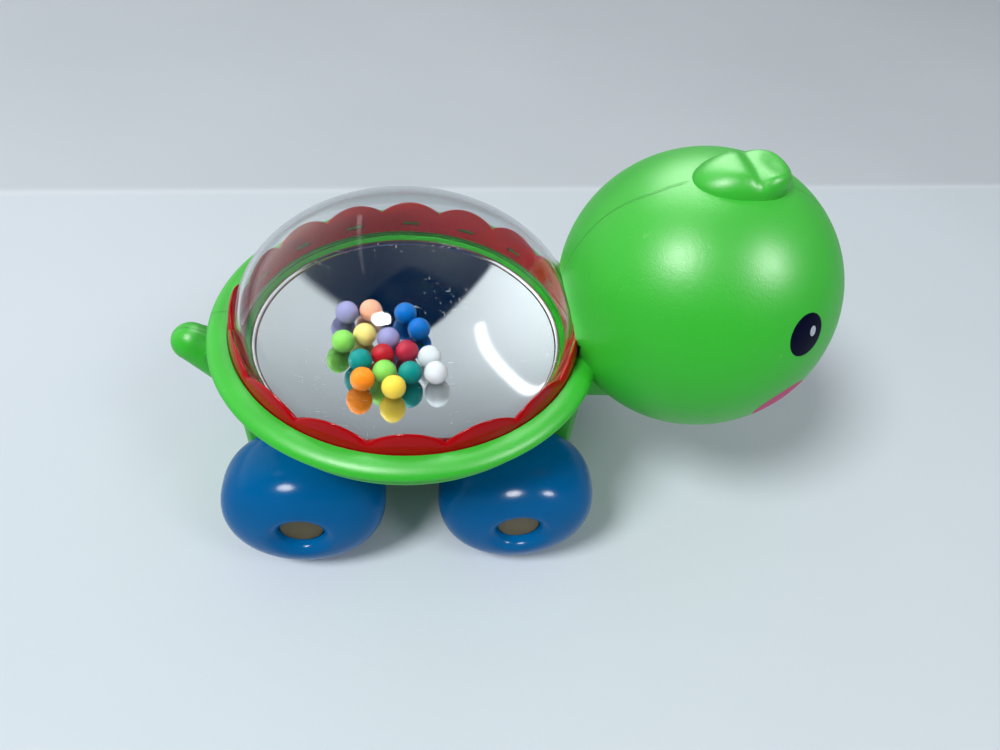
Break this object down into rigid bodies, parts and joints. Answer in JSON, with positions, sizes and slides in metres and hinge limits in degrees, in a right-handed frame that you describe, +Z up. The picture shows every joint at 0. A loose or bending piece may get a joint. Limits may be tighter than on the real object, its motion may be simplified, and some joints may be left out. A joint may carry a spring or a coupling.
{
  "type": "push-along popping toy",
  "caption": "Plastic push-along turtle toy on fat wheels, with a clear dome over a mirror dish where small loose balls pop as the rear axle kicks a plunger.",
  "frame": {"origin": "on the floor under the middle of the toy's box", "axes": "+X towards the head, +Y to the toy's left, +Z up"},
  "size_m": [0.214, 0.1262, 0.1435],
  "materials": {
    "leaf_green": "satin moulded plastic, bright leaf green",
    "clear_dome": "clear glossy plastic",
    "collar_red": "glossy deep red plastic",
    "mirror_chrome": "plastic with a bright mirror plating, lightly scratched",
    "wheel_blue": "glossy blue plastic",
    "hub_amber": "amber brown plastic",
    "gear_ivory": "plain ivory plastic",
    "bright_steel": "drawn steel",
    "ball_crimson": "glossy plastic",
    "ball_red": "glossy plastic",
    "ball_lavender": "glossy plastic",
    "ball_white": "glossy plastic",
    "ball_blue": "glossy plastic",
    "ball_teal": "glossy plastic",
    "ball_light_green": "glossy plastic",
    "ball_cream": "glossy plastic",
    "ball_yellow": "glossy plastic",
    "ball_peach": "glossy plastic",
    "ball_orange": "glossy plastic"
  },
  "bodies": {
    "root": {"body_right_half": "leaf_green", "body_left_half": "leaf_green", "dome": "clear_dome", "scallop_collar": "collar_red", "mirror_dish": "mirror_chrome", "rocker_pin": "bright_steel", "screw_head_top": "bright_steel", "screw_head_chin": "bright_steel", "screw_tail": "bright_steel", "screw_chassis": "bright_steel"},
    "rear_wheels": {"rear_axle": "bright_steel", "rear_wheel_left": "wheel_blue", "rear_hub_cap_left": "hub_amber", "rear_wheel_right": "wheel_blue", "rear_hub_cap_right": "hub_amber", "star_cam": "gear_ivory"},
    "front_wheels": {"front_axle": "bright_steel", "front_wheel_left": "wheel_blue", "front_hub_cap_left": "hub_amber", "front_wheel_right": "wheel_blue", "front_hub_cap_right": "hub_amber"},
    "rocker": {"popper_rocker": "gear_ivory"},
    "plunger": {"popper_plunger": "mirror_chrome"},
    "ball_01": {"ball_01": "ball_crimson"},
    "ball_02": {"ball_02": "ball_lavender"},
    "ball_03": {"ball_03": "ball_red"},
    "ball_04": {"ball_04": "ball_white"},
    "ball_05": {"ball_05": "ball_blue"},
    "ball_06": {"ball_06": "ball_teal"},
    "ball_07": {"ball_07": "ball_light_green"},
    "ball_08": {"ball_08": "ball_white"},
    "ball_09": {"ball_09": "ball_cream"},
    "ball_10": {"ball_10": "ball_teal"},
    "ball_11": {"ball_11": "ball_blue"},
    "ball_12": {"ball_12": "ball_yellow"},
    "ball_13": {"ball_13": "ball_peach"},
    "ball_14": {"ball_14": "ball_orange"},
    "ball_15": {"ball_15": "ball_light_green"},
    "ball_16": {"ball_16": "ball_lavender"}
  },
  "joints": [
    {"name": "rear_axle_spin", "type": "hinge", "parent": "root", "child": "rear_wheels", "pos_m": [-0.0643, 0, 0.02722], "axis": [0, 1, 0], "continuous": true},
    {"name": "front_axle_spin", "type": "hinge", "parent": "root", "child": "front_wheels", "pos_m": [0.0081, 0, 0.02722], "axis": [0, 1, 0], "continuous": true},
    {"name": "rocker_tilt", "type": "hinge", "parent": "root", "child": "rocker", "pos_m": [0.0005, 0, 0.03952], "axis": [0, 1, 0], "range_deg": [0, 6]},
    {"name": "plunger_lift", "type": "slide", "parent": "root", "child": "plunger", "axis": [0, 0, 1], "range_m": [0, 0.00314]},
    {"name": "ball_01_pop", "type": "slide", "parent": "plunger", "child": "ball_01", "axis": [0, 0, 1], "range_m": [0, 0.025]},
    {"name": "ball_02_pop", "type": "slide", "parent": "plunger", "child": "ball_02", "axis": [0, 0, 1], "range_m": [0, 0.025]},
    {"name": "ball_03_pop", "type": "slide", "parent": "plunger", "child": "ball_03", "axis": [0, 0, 1], "range_m": [0, 0.025]},
    {"name": "ball_04_pop", "type": "slide", "parent": "plunger", "child": "ball_04", "axis": [0, 0, 1], "range_m": [0, 0.025]},
    {"name": "ball_05_pop", "type": "slide", "parent": "plunger", "child": "ball_05", "axis": [0, 0, 1], "range_m": [0, 0.025]},
    {"name": "ball_06_pop", "type": "slide", "parent": "plunger", "child": "ball_06", "axis": [0, 0, 1], "range_m": [0, 0.025]},
    {"name": "ball_07_pop", "type": "slide", "parent": "root", "child": "ball_07", "axis": [0, 0, 1], "range_m": [0, 0.025]},
    {"name": "ball_08_pop", "type": "slide", "parent": "root", "child": "ball_08", "axis": [0, 0, 1], "range_m": [0, 0.025]},
    {"name": "ball_09_pop", "type": "slide", "parent": "root", "child": "ball_09", "axis": [0, 0, 1], "range_m": [0, 0.025]},
    {"name": "ball_10_pop", "type": "slide", "parent": "root", "child": "ball_10", "axis": [0, 0, 1], "range_m": [0, 0.025]},
    {"name": "ball_11_pop", "type": "slide", "parent": "root", "child": "ball_11", "axis": [0, 0, 1], "range_m": [0, 0.025]},
    {"name": "ball_12_pop", "type": "slide", "parent": "root", "child": "ball_12", "axis": [0, 0, 1], "range_m": [0, 0.025]},
    {"name": "ball_13_pop", "type": "slide", "parent": "root", "child": "ball_13", "axis": [0, 0, 1], "range_m": [0, 0.025]},
    {"name": "ball_14_pop", "type": "slide", "parent": "root", "child": "ball_14", "axis": [0, 0, 1], "range_m": [0, 0.025]},
    {"name": "ball_15_pop", "type": "slide", "parent": "root", "child": "ball_15", "axis": [0, 0, 1], "range_m": [0, 0.025]},
    {"name": "ball_16_pop", "type": "slide", "parent": "root", "child": "ball_16", "axis": [0, 0, 1], "range_m": [0, 0.025]}
  ],
  "couplings": [
    {"joint": "plunger_lift", "follows": "rocker_tilt", "m_per_rad": 0.03}
  ]
}
